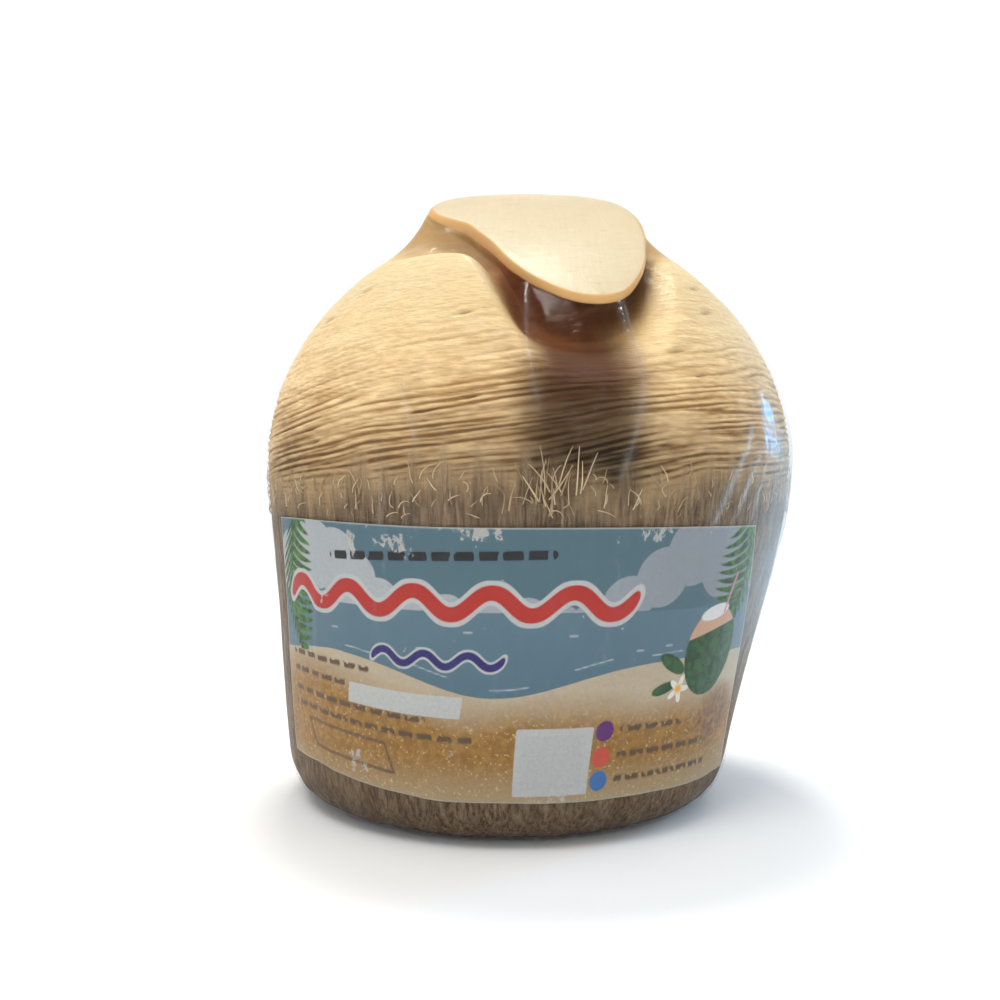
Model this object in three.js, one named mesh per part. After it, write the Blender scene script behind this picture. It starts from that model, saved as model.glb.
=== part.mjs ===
// A trimmed young coconut, carved with an overhanging pull tongue, with a paper label round
// its front and a clear shrink film over both.
//
// Millimetres, +Z up. The origin is the centre of the flat base under the dome's axis.
// The front is -Y and the label faces it. Azimuths are in degrees from the front, positive
// towards +X.
import * as THREE from 'three';

// ---- Husk: dome and wall ----
const BELLY_RADIUS = 62.7;
const BELLY_HEIGHT = 78;
const DOME_RISE = 68; // from the belly to where the dome would close
const DOME_POWER = 2.1;
const DOME_ROUNDNESS = 0.8;
const WALL_FOOT_RADIUS = 52.9;
const WALL_FOOT_HEIGHT = 12;
const WALL_TAPER = 0.162; // growth of the wall's radius for each millimetre of height
const BELLY_BLEND = 2; // rounding where the wall runs into the dome
const BASE_RADIUS = 40;
const LEAN = 4.9; // how far the foot stands to -X of the dome's axis
const LEAN_TOP = 75;
const LEAN_SPAN = 70;

// ---- Husk: slanted top face and its lip ----
const TOP_HEIGHT = 141.9; // on the axis
const TOP_SLOPE = 0.55;
const TOP_SAG = 0.0035;
// Lip radius at each azimuth: the neck is round, and the tongue reaches out to the front right.
const LIP = [
  [-90, 23.6], [-56, 18.4], [-36, 19.8], [-18, 24.6], [2, 36.8], [14, 43.6], [24, 45.4],
  [34, 41.8], [50, 34.2], [70, 28.0], [100, 23.8], [150, 20.8], [210, 21.0],
];
const LIP_ROUNDING = 0.45;
const TONGUE_THICKNESS = 1.5;
const TONGUE_EDGE_EXTRA = 1.2; // the lip is thicker on the tongue's left side

// ---- Husk: neck and the finger scoop under the tongue ----
const NECK_RADIUS = 24;
const SHOULDER_HEIGHT = 126;
const SCOOP_DEPTH = 33.5; // how far the scoop's lower edge comes down from the shoulder
const SCOOP_AZIMUTH = 10;
const SCOOP_SPREAD_LEFT = 21;
const SCOOP_SPREAD_RIGHT = 27;
const ROOT_DEPTH = 15.5; // from the top face down to the scoop's back wall
const LEFT_CUT_AZIMUTH = -42;
const LEFT_CUT_SPREAD = 30;
const LEFT_CUT_DROP = 1.5; // how much lower the shoulder stands there

// ---- Label ----
const LABEL_START = -61.5;
const LABEL_END_TOP = 49.5;
const LABEL_END_BOTTOM = 64;
const LABEL_BOTTOM = 10.4;
const LABEL_BOTTOM_RISE = 4.6; // towards the label's start
const LABEL_TOP = 64.8;
const LABEL_TOP_RISE = 1.6;
const LABEL_COLUMNS = 25;
const LABEL_ROWS = 7;
const LABEL_THICKNESS = 0.3;

// ---- Film ----
const FILM_THICKNESS = 0.4;
const FILM_HEM_STEP = 1; // foot ring at which the film ends, outside the flat base
const GAP = 0.33; // between one piece and the next
const LABEL_LIFT = LABEL_THICKNESS + GAP + 0.1; // how much further out the film runs there

// ---- Mesh steps ----
const FRONT_STEP = 5;
const BACK_STEP = 10;
const FRONT_LIMIT = 75;
const FOOT_STEPS = [0, 0.3, 0.55, 0.8];
const SIDE_STEPS = 8;
const NECK_STEPS = 6;
const UNDERSIDE_STEPS = 4;
const LIP_STEPS = 2;
const TOP_RINGS = 3;
const TENT_STEPS = 3;

const radians = THREE.MathUtils.degToRad;
const smoothstep = THREE.MathUtils.smoothstep;
const point = (radius, height) => new THREE.Vector2(radius, height);

function wrapDegrees(angle) {
  return THREE.MathUtils.euclideanModulo(angle + 180, 360) - 180;
}

function bell(azimuth, centre, spread, power) {
  return Math.exp(-Math.pow(Math.abs(wrapDegrees(azimuth - centre)) / spread, power));
}

function evenSteps(count) {
  return Array.from({ length: count }, (_, step) => step / count);
}

/** Radius of the husk's dome and wall at a height above the foot. */
function sideRadius(height) {
  const wall = WALL_FOOT_RADIUS + WALL_TAPER * (height - WALL_FOOT_HEIGHT);
  const rise = THREE.MathUtils.clamp((height - BELLY_HEIGHT) / DOME_RISE, 0, 1);
  const dome = BELLY_RADIUS * Math.pow(1 - Math.pow(rise, DOME_POWER), DOME_ROUNDNESS);
  const share = THREE.MathUtils.clamp(0.5 + (dome - wall) / (2 * BELLY_BLEND), 0, 1);
  return THREE.MathUtils.lerp(dome, wall, share) - BELLY_BLEND * share * (1 - share);
}

/** Smooth closed curve through the lip's points. */
function lipRadius(azimuth) {
  const count = LIP.length;
  const start = LIP[0][0];
  const angle = start + THREE.MathUtils.euclideanModulo(azimuth - start, 360);
  const knot = (index) => {
    const turns = Math.floor(index / count);
    const [knotAngle, radius] = LIP[index - turns * count];
    return point(knotAngle + 360 * turns, radius);
  };
  let index = 0;
  while (knot(index + 1).x <= angle) index += 1;
  const [before, from, to, after] = [-1, 0, 1, 2].map((offset) => knot(index + offset));
  const span = to.x - from.x;
  const t = (angle - from.x) / span;
  const slopeFrom = (to.y - before.y) / (to.x - before.x);
  const slopeTo = (after.y - from.y) / (after.x - from.x);
  return (
    (2 * t ** 3 - 3 * t ** 2 + 1) * from.y +
    (t ** 3 - 2 * t ** 2 + t) * span * slopeFrom +
    (3 * t ** 2 - 2 * t ** 3) * to.y +
    (t ** 3 - t ** 2) * span * slopeTo
  );
}

/** Height of the slanted top face at a radius on one azimuth. */
function topHeight(azimuth, radius) {
  const y = -radius * Math.cos(radians(azimuth));
  return TOP_HEIGHT + TOP_SLOPE * y - TOP_SAG * y * y;
}

function along(from, direction, length) {
  return from.clone().addScaledVector(direction, length);
}

function curvePoints(from, fromHandle, toHandle, to, steps) {
  const curve = new THREE.CubicBezierCurve(from, fromHandle, toHandle, to);
  return steps.map((step) => curve.getPoint(step));
}

function footPoints() {
  const wallFoot = point(WALL_FOOT_RADIUS, WALL_FOOT_HEIGHT);
  const floorHandle = point(BASE_RADIUS + 7.5, 0);
  const wallHandle = point(WALL_FOOT_RADIUS - 1.3, WALL_FOOT_HEIGHT / 3);
  return curvePoints(point(BASE_RADIUS, 0), floorHandle, wallHandle, wallFoot, FOOT_STEPS);
}

/** The husk's half section on one azimuth, from the base to the top face, in stretches. */
function huskSection(azimuth) {
  const lip = lipRadius(azimuth);
  const spread = wrapDegrees(azimuth) < SCOOP_AZIMUTH ? SCOOP_SPREAD_LEFT : SCOOP_SPREAD_RIGHT;
  const scoop = bell(azimuth, SCOOP_AZIMUTH, spread, 2.6);
  const leftCut = bell(azimuth, LEFT_CUT_AZIMUTH, LEFT_CUT_SPREAD, 4);

  // How far the lip overhangs the neck, and how much of a tongue that makes (0 to 1).
  const reach = Math.max(0, lip - NECK_RADIUS);
  const overhang = (reach * reach) / (reach + 4);
  const tongue = smoothstep(overhang, 0, 9);
  const plainNeck = (1 - tongue) * (1 - leftCut);

  const edgeThickness =
    TONGUE_THICKNESS +
    TONGUE_EDGE_EXTRA * bell(azimuth, -40, 42, 2) -
    0.4 * smoothstep(Math.abs(wrapDegrees(azimuth - 20)), 60, 120);

  const shoulderHeight = SHOULDER_HEIGHT - SCOOP_DEPTH * scoop - LEFT_CUT_DROP * leftCut;
  const sideSpan = shoulderHeight - WALL_FOOT_HEIGHT;
  const side = evenSteps(SIDE_STEPS).map((step) => {
    const height = WALL_FOOT_HEIGHT + step * sideSpan;
    return point(sideRadius(height), height);
  });

  const shoulder = point(sideRadius(shoulderHeight), shoulderHeight);
  const belowShoulder = point(sideRadius(shoulderHeight - 0.5), shoulderHeight - 0.5);
  const rootRadius = lip - overhang - 0.3 - 1.2 * leftCut + 1.9 * plainNeck;
  const plainRoot = topHeight(azimuth, lip) - edgeThickness - 1.2 - 1.8 * leftCut * (1 - tongue);
  const tongueRoot = topHeight(azimuth, rootRadius) - ROOT_DEPTH;
  const root = point(rootRadius, THREE.MathUtils.lerp(plainRoot, tongueRoot, tongue));

  const chord = root.clone().sub(shoulder);
  const neckLength = chord.length();
  const upTheSide = shoulder.clone().sub(belowShoulder).normalize();
  const fromShoulder = upTheSide.lerp(chord.normalize(), 0.65).normalize();
  const intoRoot = point(-0.42 - 0.25 * tongue, 0.9 - 0.3 * tongue).normalize();
  const neck = curvePoints(
    shoulder,
    along(shoulder, fromShoulder, 0.3 * neckLength),
    along(root, intoRoot, -0.33 * neckLength),
    root,
    evenSteps(NECK_STEPS),
  );

  const edgeRadius = lip - 0.15 + 0.9 * plainNeck;
  const edge = point(edgeRadius, topHeight(azimuth, lip) - edgeThickness);
  const undersideLength = edge.distanceTo(root);
  const topDrop = topHeight(azimuth, lip) - topHeight(azimuth, rootRadius);
  const alongTongue = point(lip - rootRadius, topDrop).normalize();
  const intoEdge = point(0.1, 1).lerp(alongTongue, overhang > 1 ? tongue : 0).normalize();
  const underside = curvePoints(
    root,
    along(root, intoRoot, 0.35 * Math.min(undersideLength, 12)),
    along(edge, intoEdge, -0.5 * undersideLength),
    edge,
    evenSteps(UNDERSIDE_STEPS),
  );

  const topRadius = lip - LIP_ROUNDING;
  const topEdge = point(topRadius, topHeight(azimuth, topRadius));
  const lipEdge = curvePoints(
    edge,
    point(edge.x + 0.25, edge.y + 0.3 * edgeThickness),
    point(topEdge.x + 0.55, topEdge.y - 0.3),
    topEdge,
    evenSteps(LIP_STEPS),
  );

  const top = evenSteps(TOP_RINGS).map((step) => {
    const radius = topRadius * (1 - step);
    return point(radius, topHeight(azimuth, radius));
  });
  return { foot: footPoints(), side, shoulder, neck, underside, edge, lipEdge, top };
}

/** The film's line over the husk on one azimuth: it spans the neck and the scoop straight. */
function wrapLine(azimuth) {
  const { foot, side, shoulder, edge, lipEdge, top } = huskSection(azimuth);
  const sidePoints = [...side, shoulder];
  const fromEdge = (spot) => Math.atan2(spot.x - edge.x, edge.y - spot.y);
  const angles = sidePoints.map(fromEdge);
  const touch = sidePoints[angles.indexOf(Math.max(...angles))];
  const onTent = (height) => {
    return touch.clone().lerp(edge, (height - touch.y) / (edge.y - touch.y));
  };
  const hugging = sidePoints.map((spot) => (spot.y <= touch.y ? spot : onTent(spot.y)));
  const tentFoot = hugging.pop();
  const tent = evenSteps(TENT_STEPS).map((step) => tentFoot.clone().lerp(edge, step));
  const axisTop = point(0, TOP_HEIGHT);
  return [...foot.slice(FILM_HEM_STEP), ...hugging, ...tent, ...lipEdge, ...top, axisTop];
}

/** Moves a half section outwards by distance(spot), square to itself. */
function offsetLine(line, distance) {
  return line.map((spot, index) => {
    const before = line[Math.max(index - 1, 0)];
    const after = line[Math.min(index + 1, line.length - 1)];
    const ahead = after.clone().sub(before).normalize();
    const moved = along(spot, point(ahead.y, -ahead.x), distance(spot));
    return index === line.length - 1 ? point(0, spot.y + distance(spot)) : moved;
  });
}

/** Puts a point of a half section in space, with the foot's lean to -X. */
function place(azimuth, spot) {
  const angle = radians(azimuth);
  const lean = LEAN * smoothstep(LEAN_TOP - spot.y, 0, LEAN_SPAN);
  return new THREE.Vector3(spot.x * Math.sin(angle) - lean, -spot.x * Math.cos(angle), spot.y);
}

function azimuthSteps() {
  const azimuths = [];
  for (let azimuth = -FRONT_LIMIT; azimuth < FRONT_LIMIT; azimuth += FRONT_STEP) {
    azimuths.push(azimuth);
  }
  for (let azimuth = FRONT_LIMIT; azimuth < 360 - FRONT_LIMIT; azimuth += BACK_STEP) {
    azimuths.push(azimuth);
  }
  return azimuths;
}

/** Collects points and triangles, joining points that are in the same place. */
class BodyBuilder {
  positions = [];
  indices = [];
  known = new Map();

  vertex(spot) {
    const key = spot.toArray().map((value) => value.toFixed(5)).join(' ');
    if (!this.known.has(key)) {
      this.known.set(key, this.known.size);
      this.positions.push(...spot.toArray());
    }
    return this.known.get(key);
  }

  triangle(a, b, c) {
    const corners = [a, b, c].map((spot) => this.vertex(spot));
    if (new Set(corners).size === 3) this.indices.push(...corners);
  }

  /** Splits along the shorter diagonal, so that facing surfaces are split alike. */
  quad(a, b, c, d) {
    if (a.distanceTo(c) < b.distanceTo(d)) {
      this.triangle(a, b, c);
      this.triangle(a, c, d);
    } else {
      this.triangle(a, b, d);
      this.triangle(b, c, d);
    }
  }

  geometry() {
    const geometry = new THREE.BufferGeometry();
    geometry.setAttribute('position', new THREE.Float32BufferAttribute(this.positions, 3));
    geometry.setIndex(this.indices);
    geometry.computeVertexNormals();
    return geometry;
  }
}

/** A closed body from lines that run from the axis out, up and back to the axis. */
function bodyOfRevolution(lineAt) {
  const azimuths = azimuthSteps();
  const columns = azimuths.map((azimuth) => lineAt(azimuth).map((spot) => place(azimuth, spot)));
  const body = new BodyBuilder();
  columns.forEach((column, index) => {
    const next = columns[(index + 1) % columns.length];
    for (let row = 0; row + 1 < column.length; row += 1) {
      body.quad(column[row], next[row], next[row + 1], column[row + 1]);
    }
  });
  return body.geometry();
}

function huskGeometry() {
  return bodyOfRevolution((azimuth) => {
    const section = huskSection(azimuth);
    const outside = ['foot', 'side', 'neck', 'underside', 'lipEdge', 'top'];
    const line = outside.flatMap((stretch) => section[stretch]);
    return [point(0, 0), ...line, point(0, TOP_HEIGHT)];
  });
}

/** 1 over the label and a little past its edges, 0 away from it. */
function labelCover(azimuth, height) {
  const angle = wrapDegrees(azimuth);
  const rightOfStart = smoothstep(angle, LABEL_START - 12, LABEL_START - 4);
  const leftOfEnd = 1 - smoothstep(angle, LABEL_END_BOTTOM + 4, LABEL_END_BOTTOM + 12);
  const aboveBottom = smoothstep(height, LABEL_BOTTOM - 10, LABEL_BOTTOM - 2);
  const belowTop = 1 - smoothstep(height, LABEL_TOP + 4, LABEL_TOP + 16);
  return rightOfStart * leftOfEnd * aboveBottom * belowTop;
}

function filmGeometry() {
  return bodyOfRevolution((azimuth) => {
    const line = wrapLine(azimuth);
    const innerGap = (spot) => GAP + LABEL_LIFT * labelCover(azimuth, spot.y);
    const inner = offsetLine(line, innerGap);
    const outer = offsetLine(line, (spot) => innerGap(spot) + FILM_THICKNESS);
    return [...inner.reverse(), ...outer];
  });
}

/** One upright line of the label, at a share of its width from 0 to 1. */
function labelLine(share, gap) {
  const { lerp } = THREE.MathUtils;
  const rows = Array.from({ length: LABEL_ROWS }, (_, row) => row / (LABEL_ROWS - 1));
  return rows.map((row) => {
    const azimuth = lerp(LABEL_START, lerp(LABEL_END_BOTTOM, LABEL_END_TOP, row), share);
    const towardsStart = smoothstep(-azimuth, 10, 64);
    const bottom = LABEL_BOTTOM + LABEL_BOTTOM_RISE * towardsStart;
    const top = LABEL_TOP + LABEL_TOP_RISE * towardsStart;
    const height = lerp(bottom, top, row);
    return place(azimuth, point(sideRadius(height) + gap, height));
  });
}

function labelGeometry() {
  const shares = Array.from({ length: LABEL_COLUMNS }, (_, i) => i / (LABEL_COLUMNS - 1));
  const columns = shares.map((share) => {
    const inner = labelLine(share, GAP);
    const outer = labelLine(share, GAP + LABEL_THICKNESS);
    return [...outer, ...inner.reverse()];
  });
  const body = new BodyBuilder();
  for (let index = 0; index + 1 < columns.length; index += 1) {
    const [column, next] = [columns[index], columns[index + 1]];
    column.forEach((spot, row) => {
      const above = (row + 1) % column.length;
      body.quad(spot, next[row], next[above], column[above]);
    });
  }
  const loop = 2 * LABEL_ROWS - 1;
  const [first, last] = [columns[0], columns[columns.length - 1]];
  for (let row = 0; row + 1 < LABEL_ROWS; row += 1) {
    body.quad(first[row], first[row + 1], first[loop - row - 1], first[loop - row]);
    body.quad(last[row + 1], last[row], last[loop - row], last[loop - row - 1]);
  }
  return body.geometry();
}

function namedMesh(name, geometry, colour, roughness) {
  const material = new THREE.MeshStandardMaterial({ color: colour, roughness, metalness: 0 });
  const mesh = new THREE.Mesh(geometry, material);
  mesh.name = name;
  return mesh;
}

const coconut = new THREE.Group();
coconut.add(namedMesh('coconut_husk', huskGeometry(), 0xe3c694, 0.8));
coconut.add(namedMesh('paper_label', labelGeometry(), 0x9fb7bb, 0.6));
coconut.add(namedMesh('shrink_film', filmGeometry(), 0xeef2f4, 0.1));

export default coconut;
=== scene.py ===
import functools
import math

import bpy
import numpy as np
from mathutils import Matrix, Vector


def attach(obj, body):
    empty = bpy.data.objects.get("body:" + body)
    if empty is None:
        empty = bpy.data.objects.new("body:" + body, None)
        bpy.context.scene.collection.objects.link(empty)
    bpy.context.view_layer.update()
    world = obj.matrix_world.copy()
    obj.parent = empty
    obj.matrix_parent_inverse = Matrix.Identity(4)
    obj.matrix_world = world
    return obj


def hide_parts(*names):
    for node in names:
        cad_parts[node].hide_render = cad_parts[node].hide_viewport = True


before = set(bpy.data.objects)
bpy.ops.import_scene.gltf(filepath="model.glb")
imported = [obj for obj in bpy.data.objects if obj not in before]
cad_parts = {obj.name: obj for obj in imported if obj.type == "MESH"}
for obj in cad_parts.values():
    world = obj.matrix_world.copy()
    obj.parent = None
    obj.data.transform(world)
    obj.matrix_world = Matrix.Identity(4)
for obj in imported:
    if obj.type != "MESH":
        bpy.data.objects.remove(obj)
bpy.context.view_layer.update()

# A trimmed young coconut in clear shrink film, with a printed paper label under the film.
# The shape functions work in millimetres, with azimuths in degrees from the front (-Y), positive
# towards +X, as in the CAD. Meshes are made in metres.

MM = 0.001
BODY = "root"

# ---- Husk shape, as in the CAD ----
BELLY_RADIUS = 62.7
BELLY_HEIGHT = 78.0
DOME_RISE = 68.0
DOME_POWER = 2.1
DOME_ROUNDNESS = 0.8
WALL_FOOT_RADIUS = 52.9
WALL_FOOT_HEIGHT = 12.0
WALL_TAPER = 0.162
BELLY_BLEND = 2.0
BASE_RADIUS = 40.0
LEAN = 4.9
LEAN_TOP = 75.0
LEAN_SPAN = 70.0
TOP_HEIGHT = 141.9
TOP_SLOPE = 0.55
TOP_SAG = 0.0035
LIP = (  # azimuth, radius
    (-90, 23.6), (-56, 18.4), (-36, 19.8), (-18, 24.6), (2, 36.8), (14, 43.6), (24, 45.4),
    (34, 41.8), (50, 34.2), (70, 28.0), (100, 23.8), (150, 20.8), (210, 21.0),
)
LIP_ROUNDING = 0.45
TONGUE_THICKNESS = 1.5
TONGUE_EDGE_EXTRA = 1.2
NECK_RADIUS = 24.0
SHOULDER_HEIGHT = 126.0
SCOOP_DEPTH = 33.5
SCOOP_AZIMUTH = 10.0
SCOOP_SPREAD_LEFT = 21.0
SCOOP_SPREAD_RIGHT = 27.0
ROOT_DEPTH = 15.5
LEFT_CUT_AZIMUTH = -42.0
LEFT_CUT_SPREAD = 30.0
LEFT_CUT_DROP = 1.5
CIRCUMFERENCE = 2 * math.pi * BELLY_RADIUS

# ---- Husk surface ----
BASE_ROWS = 12
HUSK_ROWS = {"foot": 22, "side": 310, "neck": 60, "underside": 26, "lip": 8, "top": 46}
FIBRE_ROWS_SHARE = 0.25  # of the side's rows, on the stripped wall
LEVEL_ROWS_SHARE = 0.74  # of the side's rows, up to LEVEL_ROWS_TOP
LEVEL_ROWS_TOP = 90.0
SHOULDER_PASSES = 5
SHOULDER_REACH = 28  # rows on each side of the bend
SHOULDER_BLUR = 8  # rows
BASE_LIFT = 0.35  # the husk's base stands this high, with the film's hem round it on the floor
FIBRE_TOP = 72.0  # below this the wall is stripped to standing fibres
GROOVE_PITCH = 1.6
GROOVE_DEPTH = 0.5
GROOVE_TILT = 8.5  # rise of a groove from the axis to the side
PIT_COUNT = 70
PIT_DEPTH = 0.9
FIBRE_DEPTH = 0.5
STRAND_COUNT = 420
TUFT_SHARE = 0.05  # of the strands, in the tuft below the tongue
# The painted shadow below the tongue is centred on this azimuth.
TONGUE_SHADOW_AZIMUTH = 8.6  # the dark band below the tongue

# ---- Label ----
LABEL_START = -61.5
LABEL_END_TOP = 49.5
LABEL_END_BOTTOM = 64.0
LABEL_BOTTOM = 10.4
LABEL_BOTTOM_RISE = 4.6  # towards the label's start
LABEL_TOP = 64.8
LABEL_TOP_RISE = 1.6
LABEL_GAP = 0.2
LABEL_THICKNESS = 0.12
LABEL_COLUMNS = 290
LABEL_ROWS = 136
ART_SCALE = math.radians(60)  # millimetres of print for each degree

# The print, in millimetres from the front's middle and above the label's foot line.
CLOUD_BASE = 48.5
CLOUD_PUFFS = (  # x, z, radius
    (-58, 56, 8), (-50, 58.5, 8), (-43, 57.5, 7), (-38, 53.5, 6.5), (-31, 49.5, 5),
    (14, 46.5, 5), (20, 50, 5.5), (27, 55, 6), (34, 60, 7), (44, 58, 8), (52, 59, 8),
    (-24, 46.5, 4), (-16, 47.5, 4.5), (-8, 46.5, 4), (0, 47, 4.5), (7, 46, 4),
)
RIPPLES = ((-44, 43), (-22, 41), (-12, 44.6), (9, 44), (24, 40.5), (31, 41.2))  # left end, z
BAR_ROWS = (  # left, right, z
    (-60, -34, 35.2), (-60, -40, 31.2), (-60, -20, 26.6), (-60, -8, 23.2),
    (24, 40, 24.8), (24, 49, 19.6), (24, 52, 14.6),
)
RUBS = (  # scuffed spots: x, z, half width
    (-28, 62, 6), (-10, 64.5, 8), (-37, 61.5, 2), (24, 64, 5), (-47, 50, 2), (-36, 15, 5),
    (8, 10, 6),
)
FLOWER = (37.0, 31.8)
DISC_X = 19.8
DISC_RADIUS = 2.1

# ---- Film ----
FILM_GAP = 0.13
FILM_THICKNESS = 0.06
FILM_ROWS = {"foot": 14, "side": 240, "neck": 1, "underside": 1, "lip": 5, "top": 26}
HUGGING_ROWS = 150  # on the wall and dome
TENT_ROWS = 40  # where the film spans from the dome to the lip
LABEL_LIFT = 0.4
STRAND_LIFT = 0.35
STRAND_BAND = (62, 86)  # heights between which the loose fibres lie
# Azimuth at the top and at the bottom, lowest and highest point, and width.
CREASES = (
    (-2, 0, 84, 126, 0.45), (28, 14, 70, 131, 0.5), (26, 17, 80, 120, 0.45),
    (-25, -20, 76, 92, 0.45), (-31, -38, 104, 128, 0.45),
)
PULL_MARKS = (
    (45, 35, 64, 84, 0.9), (48, 40, 63, 80, 0.8), (41, 34, 62, 76, 0.8), (52, 46, 62, 82, 0.9),
)
# The glints' gloss is tinted blue in the film's material: a painted sky reflection.
# Smoother spots that mirror more: azimuth, height, half width in degrees, half height.
GLINTS = ((54, 88, 2.0, 3.2), (56, 81.5, 1.5, 2.4), (52, 83, 1.1, 3.0), (26, 118, 1.3, 2.6))

# ---- Studio, in metres ----
CAMERA_PLACE = (-0.0067, -0.255, 0.070)
LENS = 37.13  # millimetres, as the sensor's width is
SENSOR_WIDTH = 36.0
FLOOR_RADIUS = 0.8
SWEEP_RADIUS = 0.5
WALL_HEIGHTS = (0.8, 1.0)
FLOOR_TURNS = 72


# ---- Small maths ----
def wrap_degrees(angle):
    return (np.asarray(angle, float) + 180) % 360 - 180


def smoothstep(value, low, high):
    t = np.clip((np.asarray(value, float) - low) / (high - low), 0, 1)
    return t * t * (3 - 2 * t)


def bell(azimuth, centre, spread, power):
    return np.exp(-((np.abs(wrap_degrees(azimuth - centre)) / spread) ** power))


def lerp(a, b, share):
    return a + (b - a) * share


def unit(vectors):
    return vectors / np.maximum(np.linalg.norm(vectors, axis=-1, keepdims=True), 1e-9)


def pair(radius, height):
    return np.stack(np.broadcast_arrays(np.asarray(radius, float), height), axis=-1)


def bezier(start, start_handle, end_handle, end, steps):
    """Cubic curves, one for each row of the control points, sampled at the steps."""
    t = np.asarray(steps)[None, :, None]
    weights = ((1 - t) ** 3, 3 * (1 - t) ** 2 * t, 3 * (1 - t) * t**2, t**3)
    controls = (start, start_handle, end_handle, end)
    return sum(weight * control[:, None, :] for weight, control in zip(weights, controls))


def even_steps(count):
    return np.arange(count) / count


def blur_weights(tail, width):
    weights = np.exp(-((np.arange(-tail, tail + 1) / width) ** 2))
    return weights / weights.sum()


def noise(azimuth, height, width, tall, seed):
    """Smooth noise from -1 to 1 on the husk's wall. Its features are width by tall, in mm."""
    columns = max(3, round(CIRCUMFERENCE / width))
    rows = 256
    table = np.random.default_rng(seed).uniform(-1, 1, (columns, rows))
    u = (np.asarray(azimuth, float) / 360) % 1 * columns
    v = np.asarray(height, float) / tall + rows
    u, v = np.broadcast_arrays(u, v)
    column, row = np.floor(u).astype(int), np.floor(v).astype(int)
    across, up = smoothstep(u - column, 0, 1), smoothstep(v - row, 0, 1)
    left, right = column % columns, (column + 1) % columns
    low, high = row % rows, (row + 1) % rows
    bottom = lerp(table[left, low], table[right, low], across)
    top = lerp(table[left, high], table[right, high], across)
    return lerp(bottom, top, up)


# ---- Husk section ----
def side_radius(height):
    wall = WALL_FOOT_RADIUS + WALL_TAPER * (height - WALL_FOOT_HEIGHT)
    rise = np.clip((height - BELLY_HEIGHT) / DOME_RISE, 0, 1)
    dome = BELLY_RADIUS * (1 - rise**DOME_POWER) ** DOME_ROUNDNESS
    share = np.clip(0.5 + (dome - wall) / (2 * BELLY_BLEND), 0, 1)
    return lerp(dome, wall, share) - BELLY_BLEND * share * (1 - share)


def lip_radius(azimuth):
    """Smooth closed curve through the lip's points."""
    knots = np.array(LIP, float)
    turn = np.array([360.0, 0.0])
    knots = np.vstack([knots[-2:] - turn, knots, knots[:3] + turn])
    angle, radius = knots[:, 0], knots[:, 1]
    slope = np.zeros(len(knots))
    slope[1:-1] = (radius[2:] - radius[:-2]) / (angle[2:] - angle[:-2])
    x = (np.asarray(azimuth, float) - LIP[0][0]) % 360 + LIP[0][0]
    i = np.searchsorted(angle, x, side="right") - 1
    span = angle[i + 1] - angle[i]
    t = (x - angle[i]) / span
    return (
        (2 * t**3 - 3 * t**2 + 1) * radius[i]
        + (t**3 - 2 * t**2 + t) * span * slope[i]
        + (3 * t**2 - 2 * t**3) * radius[i + 1]
        + (t**3 - t**2) * span * slope[i + 1]
    )


def top_height(azimuth, radius):
    y = -radius * np.cos(np.radians(azimuth))
    return TOP_HEIGHT + TOP_SLOPE * y - TOP_SAG * y * y


def shoulder_height(azimuth):
    left = wrap_degrees(azimuth) < SCOOP_AZIMUTH
    spread = np.where(left, SCOOP_SPREAD_LEFT, SCOOP_SPREAD_RIGHT)
    scoop = SCOOP_DEPTH * bell(azimuth, SCOOP_AZIMUTH, spread, 2.6)
    left_cut = LEFT_CUT_DROP * bell(azimuth, LEFT_CUT_AZIMUTH, LEFT_CUT_SPREAD, 4)
    return SHOULDER_HEIGHT - scoop - left_cut


def foot_stretch(azimuth, steps):
    ones = np.ones(len(azimuth))
    return bezier(
        pair(BASE_RADIUS * ones, 0),
        pair((BASE_RADIUS + 7.5) * ones, 0),
        pair((WALL_FOOT_RADIUS - 1.3) * ones, WALL_FOOT_HEIGHT / 3),
        pair(WALL_FOOT_RADIUS * ones, WALL_FOOT_HEIGHT),
        steps,
    )


def side_stretch(azimuth, steps):
    """The wall and dome: level rows, closest on the grooves, then rows up to the shoulder."""
    shoulder = shoulder_height(azimuth)[:, None]
    steps = np.asarray(steps)[None, :]
    levels = [WALL_FOOT_HEIGHT, FIBRE_TOP - 6, LEVEL_ROWS_TOP]
    level = np.interp(steps, [0, FIBRE_ROWS_SHARE, LEVEL_ROWS_SHARE], levels)
    fitted = lerp(LEVEL_ROWS_TOP, shoulder, (steps - LEVEL_ROWS_SHARE) / (1 - LEVEL_ROWS_SHARE))
    height = np.where(steps < LEVEL_ROWS_SHARE, level, fitted)
    return pair(side_radius(height), height)


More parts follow.
